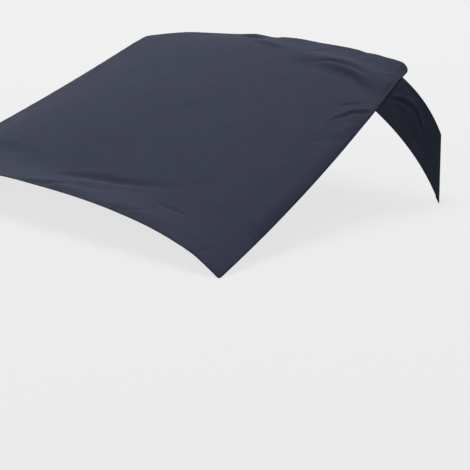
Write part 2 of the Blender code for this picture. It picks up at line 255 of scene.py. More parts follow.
# %% Folds of the panel
FOLDS = {
    "top_ridge": (0.048, (
        (0.10, 0.378, 0), (0.17, 0.365, 3), (0.24, 0.356, 5.5), (0.30, 0.353, 7.5),
        (0.36, 0.352, 8.5), (0.405, 0.347, 8.5), (0.45, 0.336, 8.5), (0.49, 0.325, 8),
        (0.53, 0.315, 6.5), (0.57, 0.300, 4),
    )),
    "top_valley": (0.036, (
        (0.16, 0.310, 0), (0.30, 0.316, -2), (0.42, 0.296, -2.5), (0.55, 0.240, 0),
    )),
    "first_crease": (0.0125, (
        (0.225, 0.318, 0), (0.27, 0.333, -2), (0.29, 0.341, -3.8), (0.311, 0.347, -5.6),
        (0.338, 0.3495, -6.4), (0.364, 0.3485, -6.4), (0.39, 0.344, -5), (0.408, 0.3395, -3.2),
        (0.45, 0.331, -0.8), (0.48, 0.327, 0),
    )),
    "crease_ridge": (0.014, (
        (0.295, 0.337, 0), (0.33, 0.334, 1.5), (0.365, 0.331, 3.5), (0.396, 0.3265, 5.5),
        (0.43, 0.319, 5.5), (0.46, 0.3095, 4), (0.49, 0.299, 2.8), (0.52, 0.2885, 1.2),
        (0.55, 0.275, 0),
    )),
    "corner_ridge": (0.012, (
        (0.465, 0.352, 0), (0.492, 0.357, 1.8), (0.515, 0.361, 2.4), (0.540, 0.362, 2),
        (0.56, 0.360, 0),
    )),
    "middle_crease": (0.014, (
        (-0.12, 0.440, -1), (-0.086, 0.433, -5), (-0.065, 0.431, -6), (-0.04, 0.430, -5),
        (-0.01, 0.430, -1.5), (0.02, 0.435, 0),
    )),
    "middle_ridge": (0.020, (
        (-0.06, 0.418, 0), (-0.03, 0.408, 2.5), (0.0, 0.4025, 4.5), (0.03, 0.397, 5.5),
        (0.07, 0.389, 4.5), (0.11, 0.382, 2), (0.15, 0.375, 0),
    )),
    "seam_ridge": (0.0095, (
        (0.60, 0.228, 0), (0.5705, 0.2155, 2.5), (0.5555, 0.2085, 3.5), (0.542, 0.2005, 4),
        (0.528, 0.191, 4.2), (0.5185, 0.176, 4), (0.514, 0.1635, 3.8), (0.505, 0.1505, 3),
        (0.501, 0.138, 2), (0.495, 0.124, 1), (0.487, 0.105, 0),
    )),
    "seam_valley": (0.0095, (
        (0.605, 0.220, 0), (0.5755, 0.2065, -2), (0.5605, 0.1995, -2.6), (0.548, 0.1915, -2.8),
        (0.536, 0.183, -2.6), (0.528, 0.1705, -2.4), (0.524, 0.161, -2), (0.515, 0.148, -1.4),
        (0.511, 0.136, -0.8), (0.505, 0.115, 0),
    )),
    "seam_upper_line": (0.009, (
        (0.555, 0.238, 0), (0.525, 0.219, -1.6), (0.507, 0.2085, -2.6), (0.495, 0.201, -2.6),
        (0.489, 0.190, -2), (0.475, 0.184, -1), (0.46, 0.175, 0),
    )),
    "seam_lower_ridge": (0.014, (
        (0.606, 0.195, 0), (0.585, 0.165, 1.6), (0.560, 0.120, 1.2), (0.54, 0.070, 0),
    )),
    "side_soft_fold": (0.020, (
        (0.612, 0.112, 0), (0.575, 0.075, -1.8), (0.53, 0.037, -1.2), (0.48, 0.000, 0),
    )),
    "bottom_valley": (0.023, (
        (-0.06, -0.378, 0), (0.0, -0.357, -3.5), (0.062, -0.343, -5.2), (0.134, -0.335, -6),
        (0.202, -0.327, -5.4), (0.27, -0.313, -3.6), (0.323, -0.303, -1.8), (0.38, -0.293, 0),
    )),
    "bottom_line": (0.017, (
        (-0.07, -0.447, 0), (-0.032, -0.434, 2.8), (0.007, -0.414, 3.2), (0.036, -0.399, 2.6),
        (0.066, -0.386, 2), (0.12, -0.364, 1.6), (0.19, -0.350, 0),
    )),
    "bottom_crease": (0.015, (
        (-0.045, -0.474, 0), (-0.010, -0.458, -3), (0.016, -0.442, -4), (0.046, -0.4225, -3.2),
        (0.076, -0.412, -2.2), (0.11, -0.403, -1.8), (0.155, -0.388, -1.4), (0.22, -0.375, 0),
    )),
    "bottom_ridge": (0.038, (
        (-0.12, -0.440, 0), (-0.02, -0.432, 3), (0.08, -0.428, 4.8), (0.16, -0.430, 3.4),
        (0.235, -0.432, 1.6), (0.31, -0.430, 2), (0.39, -0.430, 2), (0.46, -0.428, 1),
        (0.54, -0.42, 0),
    )),
    "hem_crease": (0.011, (
        (0.30, -0.460, 0), (0.334, -0.447, -1.5), (0.366, -0.424, -1.5), (0.405, -0.408, 0),
    )),
    "upper_thin_line": (0.009, (
        (0.195, 0.365, 0), (0.212, 0.377, -1.2), (0.226, 0.391, -1.5), (0.24, 0.405, -1.3),
        (0.262, 0.418, -0.8), (0.285, 0.425, 0),
    )),
    "short_crease": (0.011, (
        (0.35, -0.365, 0), (0.385, -0.368, -2.6), (0.41, -0.370, -3), (0.436, -0.371, -3),
        (0.46, -0.371, -2.4), (0.50, -0.372, 0),
    )),
    "magnet_crease": (0.009, (
        (0.625, -0.415, 0), (0.619, -0.430, -1.2), (0.615, -0.448, -1.6), (0.616, -0.468, -1.2),
    )),
    "right_margin_ridge": (0.075, (
        (0.44, -0.36, 0), (0.505, -0.27, 2.2), (0.515, -0.12, 2.2), (0.49, 0.03, 0),
    )),
    "left_side_hollow": (0.075, (
        (-0.50, -0.36, 0), (-0.58, -0.24, -2.5), (-0.57, -0.10, -2), (-0.54, 0.06, 0),
    )),
    "left_corner_dip": (0.046, (
        (-0.60, -0.32, 0), (-0.50, -0.285, -5), (-0.40, -0.285, -5), (-0.27, -0.305, -3),
        (-0.14, -0.34, 0),
    )),
    "left_seam_valley": (0.014, (
        (-0.598, 0.224, -1), (-0.55, 0.205, -3.8), (-0.51, 0.168, -3), (-0.49, 0.10, 0),
    )),
    "left_seam_ridge": (0.014, (
        (-0.598, 0.242, 0), (-0.545, 0.226, 3.2), (-0.50, 0.192, 2.4), (-0.46, 0.13, 0),
    )),
    "left_bottom_crease": (0.013, (
        (-0.60, -0.40, 0), (-0.50, -0.385, -2.4), (-0.42, -0.38, -2), (-0.33, -0.375, 0),
    )),
}
CURVE_PIECES = 6


def smooth_path(points, pieces=CURVE_PIECES):
    """A smooth curve through a few points, as a list of closer points."""
    points = [np.array(point, float) for point in points]
    padded = [2 * points[0] - points[1]] + points + [2 * points[-1] - points[-2]]
    curve = [points[0]]
    for before, start, end, after in zip(padded, padded[1:], padded[2:], padded[3:]):
        for step in range(1, pieces + 1):
            s = step / pieces
            pull = (end - before) * s + (2 * before - 5 * start + 4 * end - after) * s**2
            pull = pull + (3 * start - before - 3 * end + after) * s**3
            curve.append(start + 0.5 * pull)
    return curve


def lift_of(fold, x, y):
    """How far one fold lifts the cloth, in metres, at plan points."""
    width, points = fold
    nearest = np.full(np.shape(x), np.inf)
    height = np.zeros(np.shape(x))
    curve = smooth_path(points)
    for (ax, ay, a_high), (bx, by, b_high) in zip(curve, curve[1:]):
        run_x, run_y = bx - ax, by - ay
        share = ((x - ax) * run_x + (y - ay) * run_y) / (run_x**2 + run_y**2)
        share = np.clip(share, 0.0, 1.0)
        gap = np.hypot(x - ax - run_x * share, y - ay - run_y * share)
        height = np.where(gap < nearest, mix(a_high, b_high, share), height)
        nearest = np.minimum(gap, nearest)
    return height / 1000 * np.clip(1 - (nearest / width) ** 2, 0.0, None) ** 2


print(len(FOLDS), "folds on the panel")

# %% [markdown]
# ## Magnets keep the cloth flat
#
# Each magnet sits in a round pocket under the bottom hem. The record's mounts say where: a point
# on the pocket's lower face and the direction that it faces. The cloth over a pocket stays flat,
# so every wrinkle fades out around it.

# %% Magnet places
POCKET_RADIUS = 0.021
POCKET_FROM_BOTTOM = 0.038
POCKET_FLAT_ZONE = 0.022
HEM_FLAT_ZONE = 0.012
MAGNET_COUNT = 4

mounts = {mount["name"]: mount for mount in frame["record"]["mounts"]}
pocket_seats = [mounts[f"magnet_face_{number}"] for number in range(1, MAGNET_COUNT + 1)]
panel_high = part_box("main_panel")[1]
print("magnets at x =", [round(seat["pos_m"][0], 3) for seat in pocket_seats])

# %% [markdown]
# ## Fine unevenness
#
# Between its folds a light cloth is never quite smooth. Very soft swells are a hand wide, and
# faint crumples a finger wide stay from being folded up. The stitched hem is a little shorter than
# the cloth beside it, so it puckers in small ripples and its rim curls down. The top and bottom
# hems wave between the places that hold them. The right side hangs free between its flap and its
# magnet, so it sags and draws in.

# %% Unevenness
SWELL_SIZE, SWELL_HEIGHT, SWELL_SEED = 0.16, 0.0016, 3.7
CRUMPLE_SIZE, CRUMPLE_HEIGHT, CRUMPLE_SEED = 0.038, 0.0005, 8.1
CRUMPLE_SLANT = (0.7, 0.4)
FLAT_RIM, RIM_FADE = 0.004, 0.020
HEM_WAVE_REACH = 0.05
TOP_HEM_WAVES = (
    (-0.56, 0), (-0.527, -2.9), (-0.482, -2.6), (-0.438, -1.2), (-0.36, 0.5), (-0.279, -1.5),
    (-0.21, -2.3), (-0.146, -1.5), (-0.083, 2.6), (-0.05, 1.4), (-0.02, -1.3), (0.012, -1.9),
    (0.035, 1.2), (0.076, 2.8), (0.109, 3.2), (0.143, 1.9), (0.19, 0.5), (0.24, 1.1), (0.30, 1.8),
    (0.336, 1.4), (0.366, -0.6), (0.40, 1.7), (0.44, 1.2), (0.48, 2.5), (0.52, 2), (0.55, 1),
)
BOTTOM_HEM_WAVES = (
    (-0.60, 0), (-0.30, 0), (-0.20, 2.5), (-0.168, 4), (-0.093, 3), (-0.018, 1), (0.05, 0),
    (0.12, -0.6), (0.20, -1.4), (0.28, -2.2), (0.35, -2.7), (0.44, -1.7), (0.53, 0), (0.58, 2),
    (0.61, 3), (0.635, 2), (0.66, 0.8), (0.69, 0),
)
CURL_DEPTH, CURL_REACH = 0.0016, 0.007
SIDE_SAG_DEPTH, SIDE_SAG_REACH = 0.0065, 0.048
SIDE_SAG_START, SIDE_SAG_END = 0.22, 0.93
SIDE_SAG_FADE_IN, SIDE_SAG_FADE_OUT = 0.07, 0.14
PUCKER_LENGTHS = (0.019, 0.027, 0.041)
PUCKER_PHASE = 9
PUCKER_HEIGHT, PUCKER_REACH = 0.00042, 0.030
PUCKER_RIM_SHARE, PUCKER_RIM_WIDTH = 0.35, 0.006
BOTTOM_PUCKER_SHIFT = 0.3


def noise_over(x, y, size, seed):
    """Soft noise from about -1 to 1 at plan points, with lumps of a given size."""
    flat = [
        noise.noise(Vector((px / size, py / size, seed)))
        for px, py in zip(np.ravel(x), np.ravel(y))
    ]
    return np.reshape(flat, np.shape(x))


def pucker(along):
    """Uneven ripples along a stitched edge, from about -1 to 1."""
    waves = [
        np.sin(2 * math.pi * along / length + PUCKER_PHASE * length / PUCKER_LENGTHS[0])
        for length in PUCKER_LENGTHS
    ]
    return sum(waves) / len(waves)


def waved(x, waves):
    """Height in metres of a hem that waves through a few points (x in metres, height in mm)."""
    curve = smooth_path(waves)
    return np.interp(x, [point[0] for point in curve], [point[1] for point in curve]) / 1000


def side_sag(x, t):
    """Share of the right side's sag, which hangs free between its flap and its lower magnet."""
    near = np.clip((x - half_width(t) + SIDE_SAG_REACH) / SIDE_SAG_REACH, 0.0, None) ** 2
    started = ease((t - SIDE_SAG_START) / SIDE_SAG_FADE_IN)
    return near * started * ease((SIDE_SAG_END - t) / SIDE_SAG_FADE_OUT)


def off_pockets(x, t, zone):
    """0 over the magnets' pockets and 1 farther from them than a zone."""
    free = 1.0
    for seat in pocket_seats:
        gap = np.hypot(x - seat["pos_m"][0], (1 - t) * PLAN_DEPTH - POCKET_FROM_BOTTOM)
        free = free * ease((gap - POCKET_RADIUS) / zone)
    return free


def fold_freedom(x, t):
    """Wrinkles die out at the hems and over the magnets, where the cloth is held flat."""
    from_side = half_width(t) - np.abs(x)
    from_end = np.minimum(t, 1 - t) * SIDE_LENGTH
    free = ease((np.minimum(from_side, from_end) - FLAT_RIM) / RIM_FADE)
    return free * off_pockets(x, t, POCKET_FLAT_ZONE)


def panel_height(x, t):
    """Height of the panel's upper face, with its folds and all its unevenness."""
    y = plan_y(x, t)
    free = fold_freedom(x, t)
    height = smooth_height(x, t)
    height = height + free * sum(lift_of(fold, x, y) for fold in FOLDS.values())
    height = height + free * SWELL_HEIGHT * noise_over(x, y, SWELL_SIZE, SWELL_SEED)
    slanted = x * CRUMPLE_SLANT[0] + y * CRUMPLE_SLANT[1]
    height = height + free * CRUMPLE_HEIGHT * noise_over(slanted, y, CRUMPLE_SIZE, CRUMPLE_SEED)
    from_top, from_bottom = t * SIDE_LENGTH, (1 - t) * SIDE_LENGTH
    from_side = half_width(t) - np.abs(x)
    height = height + waved(x, TOP_HEM_WAVES) * ease(1 - from_top / HEM_WAVE_REACH)
    bottom_wave = waved(x, BOTTOM_HEM_WAVES) * off_pockets(x, t, HEM_FLAT_ZONE)
    height = height + bottom_wave * ease(1 - from_bottom / HEM_WAVE_REACH)
    height = height - SIDE_SAG_DEPTH * side_sag(x, t)
    nearest = np.minimum(np.minimum(from_top, from_bottom), from_side)
    height = height - CURL_DEPTH * np.clip(1 - nearest / CURL_REACH, 0.0, None) ** 2
    for from_edge, along in (
        (from_top, x),
        (from_bottom, x + BOTTOM_PUCKER_SHIFT),
        (from_side, y * np.sign(x)),
    ):
        near = ease(1 - from_edge / PUCKER_REACH)
        near = near * ease(from_edge / PUCKER_RIM_WIDTH + PUCKER_RIM_SHARE)
        height = height + PUCKER_HEIGHT * near * pucker(along)
    return height


# %% [markdown]
# ## The place of the sheet
#
# The sizes above put the panel round its own middle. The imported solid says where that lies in
# the frame, so the sheet is shifted once, by the difference between the two top edges.


# %% Panel places
NORMAL_STEP = 0.001


def panel_point(x, t):
    x, t = np.broadcast_arrays(np.asarray(x, float), np.asarray(t, float))
    drawn_x = x - SIDE_SAG_DEPTH * side_sag(x, t)
    return np.stack([drawn_x, plan_y(x, t), panel_height(x, t)], axis=-1) + PANEL_SHIFT


def panel_normal(x, t):
    """The direction out of the panel's upper face."""
    across = panel_point(x + NORMAL_STEP, t) - panel_point(x - NORMAL_STEP, t)
    down = panel_point(x, t + NORMAL_STEP) - panel_point(x, t - NORMAL_STEP)
    return unit(np.cross(down, across))


top_slope_lean = HEM * math.sin(math.atan(TOP_LAP_SLOPE))
PANEL_SHIFT = np.array(
    [0.0, panel_high.y - HALF_DEPTH - top_slope_lean, panel_high.z - BOTTOM_DROP - CROWN_RISE]
)
print("the panel's middle lies at", PANEL_SHIFT.round(4))

# %% [markdown]
# ## Section of a hem
#
# A hem is the cloth's edge folded twice to the underside and stitched near the inner fold. Seen
# in section it has a round outer edge, three layers, a groove where the thread pulls them
# together, and a step down to one layer. Two functions of the distance from the edge give this
# section: how far the upper face dips, and how thick the cloth is. The grid's lines are close
# together across the hem, so that this section is real geometry, and wider inside.

# %% Hem section
STITCH_LINE = 0.0098
GROOVE_WIDTH = 0.0009
GROOVE_DEPTH = 0.00032
STEP_LENGTH = 0.0004
THINNEST = 0.00028
HOLLOW_DEPTH, HOLLOW_WIDTH, HOLLOW_START = 0.00012, 0.0015, HEM_WIDTH - 0.0005
EDGE_LINES_MM = (
    0, 0.25, 0.65, 1.2, 2.2, 3.6, 5.2, 7.0, 8.6, 9.2, 9.8, 10.4, 11.3, 12.0, 12.4, 13.6, 17, 22,
)
EDGE_STEPS = [line / 1000 for line in EDGE_LINES_MM]


def groove(from_edge):
    return GROOVE_DEPTH * np.exp(-(((from_edge - STITCH_LINE) / GROOVE_WIDTH) ** 2))


def round_edge(from_edge):
    """How far the upper face drops at the folded edge, which is a half circle in section."""
    inside = np.clip(HEM / 2 - from_edge, 0.0, None)
    return HEM / 2 - np.sqrt((HEM / 2) ** 2 - inside**2)


def upper_dip(from_edge):
    hollow = HOLLOW_DEPTH * ease((from_edge - HOLLOW_START) / HOLLOW_WIDTH)
    return round_edge(from_edge) + groove(from_edge) + hollow


def cloth_thickness(from_edge):
    hem = HEM - 2 * round_edge(from_edge) - 2 * groove(from_edge)
    thickness = mix(hem, CLOTH, ease((from_edge - HEM_WIDTH) / STEP_LENGTH))
    return np.maximum(thickness, THINNEST)


for distance in (0.0, 0.005, STITCH_LINE, 0.013):
    print(f"{distance * 1000:4.1f} mm in: {cloth_thickness(distance) * 1000:.2f} mm thick")


# %% Grid lines
def grid_lines(length, bands, hem_at_end=True):
    """Places of the grid's lines from 0 to a length, in bands of (end, cell size)."""
    end = EDGE_STEPS if hem_at_end else [0.0]
    lines = list(EDGE_STEPS)
    for band_end, cell in bands:
        low, high = lines[-1], min(band_end, length - end[-1])
        count = round((high - low) / cell)
        lines += [mix(low, high, i / count) for i in range(1, count + 1)]
    return np.array(lines + [length - step for step in reversed(end[:-1])])


def rounded(from_side, from_end, radius):
    """Pull the points near a square corner inside a round one."""
    a, b = np.clip(radius - from_side, 0, None), np.clip(radius - from_end, 0, None)
    inside = (a > 0) & (b > 0)
    new_side = radius - a * np.sqrt(1 - b**2 / (2 * radius**2))
    new_end = radius - b * np.sqrt(1 - a**2 / (2 * radius**2))
    return np.where(inside, new_side, from_side), np.where(inside, new_end, from_end)


# %% [markdown]
# ## From a grid to a sheet
#
# Every cloth piece is made the same way. A flat grid gives the faces, and each of its corners is
# moved to its place on the spread cloth. The grid also gets a UV map in real metres, so that the
# weave keeps its scale and follows the folds, and an attribute with the distance from the hem.
# Solidify then adds the thickness, which a vertex group carries from the hem's section.


# %% Sheet maker
def bmesh_object(name, shape, material):
    """A smooth object made from a bmesh, which is freed."""
    mesh = bpy.data.meshes.new(name)
    shape.to_mesh(mesh)
    shape.free()
    mesh.materials.append(material)
    mesh.shade_smooth()
    return new_object(name, mesh)


def sheet_object(name, places, flat_places, from_edge, material):
    """A cloth from rows and columns of places, flat places in metres, and edge distances."""
    rows, columns = from_edge.shape
    grid = bmesh.new()
    bmesh.ops.create_grid(grid, x_segments=columns - 1, y_segments=rows - 1, size=1.0)
    cloth = bmesh_object(name, grid, material)
    mesh = cloth.data
    upwards = slice(None, None, -1)
    mesh.vertices.foreach_set("co", places[upwards].astype(np.float32).ravel())
    corners = np.zeros(len(mesh.loops), np.int32)
    mesh.loops.foreach_get("vertex_index", corners)
    uv_map = mesh.uv_layers.new(name="flat_metres")
    flat = flat_places[upwards].reshape(-1, 2)[corners]
    uv_map.data.foreach_set("uv", flat.astype(np.float32).ravel())
    distance = mesh.attributes.new("from_edge", "FLOAT", "POINT")
    distance.data.foreach_set("value", from_edge[upwards].astype(np.float32).ravel())
    mesh.update()
    add_thickness(cloth, cloth_thickness(from_edge[upwards]).ravel())
    return cloth


def add_thickness(cloth, thickness):
    group = cloth.vertex_groups.new(name="thickness")
    shares = np.round(thickness / thickness.max(), 3)
    for share in np.unique(shares):
        group.add(np.flatnonzero(shares == share).tolist(), float(share), "REPLACE")
    solid = cloth.modifiers.new("thickness", "SOLIDIFY")
    solid.thickness = float(thickness.max())
    solid.offset = -1.0
    solid.vertex_group = group.name


# %% [markdown]
# ## Materials
#
# Each finish starts from what the real one is. The cloth is a plain weave of fine polyester
# yarn, a light oxford: a dark navy with a soft sheen from its smooth filaments. Colours are
# written as hex values, as a paint card gives them, and one function turns them to linear light.


# %% Node and colour helpers
def linear(hex_colour):
    """A hex colour, as on a screen, as linear red, green, blue and alpha."""
    channels = [int(hex_colour[i : i + 2], 16) / 255 for i in (1, 3, 5)]
    toe = [c / 12.92 if c <= 0.04045 else ((c + 0.055) / 1.055) ** 2.4 for c in channels]
    return (*toe, 1.0)


def add_node(tree, kind, sockets=None, **settings):
    """Add a node, set its properties, and give its sockets values, links or another node."""
    node = tree.nodes.new("ShaderNode" + kind)
    for name, value in settings.items():
        setattr(node, name, value)
    for name, value in (sockets or {}).items():
        if isinstance(value, bpy.types.Node):
            value = value.outputs[0]
        if isinstance(value, bpy.types.NodeSocket):
            tree.links.new(value, node.inputs[name])
        else:
            node.inputs[name].default_value = value
    return node


def from_to(value, start, end, low=0.0, high=1.0):
    """Sockets that map a value's range onto another one."""
    return {"Value": value, "From Min": start, "From Max": end, "To Min": low, "To Max": high}


def new_material(name):
    material = bpy.data.materials.new(name)
    material.use_nodes = True
    return material, material.node_tree, material.node_tree.nodes["Principled BSDF"]


# %% [markdown]
# ### Woven polyester
#
# The yarns of a 300 denier oxford lie 0.5 mm apart. That is far finer than the picture shows, so
# here they lie 0.9 mm apart, which reads as cloth from close by. What the eye catches from a step
# away is the unevenness of the yarns: faint streaks along both directions, and a soft mottling a
# few centimetres wide. Smooth filaments give a sheen, and no clear gloss. Shade is painted into
# the colour along the hem: a dark rim where the folded edge turns down, away from the light, and a
# darker line along the groove that the stitches pull in.

# %% Woven polyester
YARN_PITCH = 0.0009
STREAK_WIDTH = 0.0035
STREAK_LENGTH = 0.070
MOTTLE_SIZE = 0.055
WEAVE_RELIEF = 0.00012
RELIEF_SHARE = 0.22
TONE_RANGE = (0.34, 0.66)
# Painted shade: how wide and how dark the hem's rim and its stitch groove are painted.
RIM_SHADE_WIDTH, RIM_SHADE_TONE = 0.006, 0.76
STITCH_SHADE_RANGE, STITCH_SHADE_TONE = (0.0005, 0.003), 0.80


def yarn_profile(tree, coordinate):
    """Height across yarns that lie side by side along one coordinate, from 0 to 1."""
    turns = add_node(tree, "Math", {0: coordinate, 1: math.pi / YARN_PITCH}, operation="MULTIPLY")
    wave = add_node(tree, "Math", {0: turns}, operation="SINE")
    return add_node(tree, "Math", {0: wave}, operation="ABSOLUTE")


def streaks(tree, flat, size_u, size_v):
    """Noise that is long in one direction of the cloth."""
    scale = (1 / size_u, 1 / size_v, 1.0)
    stretched = add_node(tree, "Mapping", {"Vector": flat, "Scale": scale})
    sockets = {"Vector": stretched, "Scale": 1.0, "Detail": 1.0, "Roughness": 0.5}
    return add_node(tree, "TexNoise", sockets).outputs["Fac"]


def woven_polyester(name, dark_yarn, light_yarn):
    material, tree, shader = new_material(name)
    flat = add_node(tree, "UVMap", uv_map="flat_metres")
    parts = add_node(tree, "SeparateXYZ", {0: flat})
    warp = yarn_profile(tree, parts.outputs["X"])
    weft = yarn_profile(tree, parts.outputs["Y"])
    over = add_node(tree, "TexChecker", {"Vector": flat, "Scale": 1 / YARN_PITCH})
    relief = add_node(tree, "Mix", {"Factor": over.outputs["Fac"], "A": warp, "B": weft})

    long_warp = streaks(tree, flat, STREAK_WIDTH, STREAK_LENGTH)
    long_weft = streaks(tree, flat, STREAK_LENGTH, STREAK_WIDTH)
    mottle = streaks(tree, flat, MOTTLE_SIZE, MOTTLE_SIZE)
    both_ways = add_node(tree, "Math", {0: long_warp, 1: long_weft}, operation="ADD")
    uneven = add_node(tree, "Math", {0: both_ways, 1: mottle}, operation="ADD")
    third = add_node(tree, "Math", {0: uneven, 1: 1 / 3}, operation="MULTIPLY")
    tone = add_node(tree, "Mix", {"Factor": RELIEF_SHARE, "A": third, "B": relief})
    shade = add_node(tree, "MapRange", from_to(tone, *TONE_RANGE))
    sockets = {"Factor": shade, "A": linear(dark_yarn), "B": linear(light_yarn)}
    yarns = add_node(tree, "Mix", sockets, data_type="RGBA")

    hem = add_node(tree, "Attribute", attribute_name="from_edge").outputs["Fac"]
    # Painted shade in the colour: darker at the turned-down rim and along the stitch groove.
    rim_shade = add_node(tree, "MapRange", from_to(hem, 0.0, RIM_SHADE_WIDTH, RIM_SHADE_TONE))
    off_line = add_node(tree, "Math", {0: hem, 1: STITCH_LINE}, operation="SUBTRACT")
    beside = add_node(tree, "Math", {0: off_line}, operation="ABSOLUTE")
    stitch_shade = add_node(tree, "MapRange", from_to(beside, *STITCH_SHADE_RANGE, STITCH_SHADE_TONE))
    painted_hem_shade = add_node(tree, "Math", {0: rim_shade, 1: stitch_shade}, operation="MULTIPLY")
    sockets = {"Factor": 1.0, "A": yarns.outputs[2], "B": painted_hem_shade}
    shaded = add_node(tree, "Mix", sockets, data_type="RGBA", blend_type="MULTIPLY")
    bump = add_node(tree, "Bump", {"Height": relief, "Strength": 0.6, "Distance": WEAVE_RELIEF})
    tree.links.new(shaded.outputs[2], shader.inputs["Base Color"])
    tree.links.new(bump.outputs[0], shader.inputs["Normal"])
    shader.inputs["Roughness"].default_value = 0.70
    shader.inputs["Specular IOR Level"].default_value = 0.08
    shader.inputs["Sheen Weight"].default_value = 0.03
    shader.inputs["Sheen Roughness"].default_value = 0.45
    shader.inputs["Sheen Tint"].default_value = linear("#C9CEE6")
    return material


panel_polyester = woven_polyester("woven_polyester_panel", "#393D52", "#44495D")
# Painted shade: the flaps are the same cloth as the panel, and their darker yarn colours stand in
# for part of the shade on their side, away from the lamp.
flap_polyester_shaded = woven_polyester("woven_polyester_flap_shaded", "#292E3D", "#323947")
pocket_polyester = woven_polyester("woven_polyester_pocket", "#2C2F3D", "#363A48")
print("cloths:", panel_polyester.name, flap_polyester_shaded.name, pocket_polyester.name)

# %% [markdown]
# ### Sewing thread and nickel
#
# The thread is bonded polyester, twisted from three plies, in the colour of the cloth and a touch
# shinier. The magnets are pressed neodymium discs with a nickel plate: a warm grey metal, tumbled
# and so not quite mirror bright.


# %% Thread and nickel
PLIES_PER_METRE = 2500.0
TUMBLE_MARKS_PER_METRE = 900.0
NICKEL_ROUGHNESS = (0.22, 0.38)


def sewing_thread(name, colour, light_colour):
    material, tree, shader = new_material(name)
    place = add_node(tree, "TexCoord").outputs["Object"]
    sockets = {"Vector": place, "Scale": PLIES_PER_METRE, "Detail": 1.0}
    plies = add_node(tree, "TexNoise", sockets).outputs["Fac"]
    sockets = {"Factor": plies, "A": linear(colour), "B": linear(light_colour)}
    tones = add_node(tree, "Mix", sockets, data_type="RGBA")
    tree.links.new(tones.outputs[2], shader.inputs["Base Color"])
    shader.inputs["Roughness"].default_value = 0.45
    return material


def nickel_plate(name):
    material, tree, shader = new_material(name)
    place = add_node(tree, "TexCoord").outputs["Object"]
    sockets = {"Vector": place, "Scale": TUMBLE_MARKS_PER_METRE, "Detail": 3.0}
    tumble = add_node(tree, "TexNoise", sockets).outputs["Fac"]
    gloss = add_node(tree, "MapRange", from_to(tumble, 0.0, 1.0, *NICKEL_ROUGHNESS))
    tree.links.new(gloss.outputs[0], shader.inputs["Roughness"])
    shader.inputs["Base Color"].default_value = linear("#CCC6BC")
    shader.inputs["Metallic"].default_value = 1.0
    return material


thread = sewing_thread("bonded_polyester_thread", "#3E4252", "#6B7084")
nickel = nickel_plate("nickel_plated_magnet")
print("thread and nickel ready")

# %% [markdown]
# ## The panel
#
# The grid's columns run down the cloth and its rows run across it. Each row has the width that
# the panel has there. Square corners are pulled round first, and the hem's section then lowers
# the upper face along every edge.

# %% Panel cloth
ROW_BANDS = ((0.17, 0.0042), (0.36, 0.0050), (0.62, 0.0105), (SIDE_LENGTH, 0.0062))
COLUMN_BANDS = ((0.70, 0.0096), (BOTTOM_SPAN, 0.0050))

from_top = grid_lines(SIDE_LENGTH, ROW_BANDS)[:, None]
row_half = half_width(from_top / SIDE_LENGTH)
widest = grid_lines(BOTTOM_SPAN, COLUMN_BANDS)
hem_zone = EDGE_STEPS[-1]
share = (widest - hem_zone) / (BOTTOM_SPAN - 2 * hem_zone)
inner = hem_zone + share * (2 * row_half - 2 * hem_zone)
right_hem = 2 * row_half - BOTTOM_SPAN + widest
from_left = np.where(share < 0, widest, np.where(share > 1, right_hem, inner))
across = from_left - row_half
side_gap = np.minimum(from_left, 2 * row_half - from_left)
top_gap = np.broadcast_to(from_top, side_gap.shape)
panel_edge = np.minimum(side_gap, np.minimum(top_gap, SIDE_LENGTH - top_gap))

side_gap, top_gap = rounded(side_gap, top_gap, TOP_CORNER_RADIUS)
side_gap, bottom_gap = rounded(side_gap, SIDE_LENGTH - top_gap, BOTTOM_CORNER_RADIUS)
panel_t = 1 - bottom_gap / SIDE_LENGTH
panel_x = np.copysign(row_half - side_gap, across)
panel_places = panel_point(panel_x, panel_t)
panel_places = panel_places - panel_normal(panel_x, panel_t) * upper_dip(panel_edge)[..., None]
panel_flat = np.stack([panel_x, -panel_t * SIDE_LENGTH], axis=-1)

panel = sheet_object("panel_cloth", panel_places, panel_flat, panel_edge, panel_polyester)
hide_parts("main_panel")
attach(panel, "root")
print("panel grid:", panel_edge.shape, "corners,", 4 * panel_edge.size, "triangles at most")

# %% [markdown]
# ## The side flaps
#
# A flap is a strip of the same cloth. Its inner edge is sewn flat under the panel, its face
# bends over in one soft curve, and its last stretch, the tail, turns inwards, where it is held
# tight in use. Each line along the flap is a curve with three control points, drawn from the seam
# to the flap's straight end. The left flap is the mirror of the right one.

# %% Flap sizes
SEAM_GAP = 0.0004
SEAM_START = 0.044
SEAM_END = 0.213
FLAP_REACH = 0.720
FLAP_TIP_BACK = 0.149
END_EDGE_IN = 0.055
END_EDGE_FORWARD = 0.081
END_EDGE_RISE = 0.163
FLAP_CROWN_UPPER = 0.030
FLAP_CROWN_LOWER = 0.043
TAIL_DEPTH = 0.066
TAIL_BEND = 0.008
BEND_ARC = 1.6 * TAIL_BEND
TAIL_TURN = math.radians(46)
TAIL_DIRECTION = np.array([-math.cos(TAIL_TURN), math.sin(TAIL_TURN), 0.0])
SEAM_UNDERLAP = HEM_WIDTH - 0.001
FLAP_CELL, BEND_CELLS, SEAM_CELLS = 0.0031, 6, 4


# %% [markdown]
# The flap's wrinkles run from the seam, where the cloth is gathered a little, and die out where
# the tail holds it tight. Each fold is again a curve through points: the distance down the seam,
# the distance along the flap, and the fold's height in millimetres.

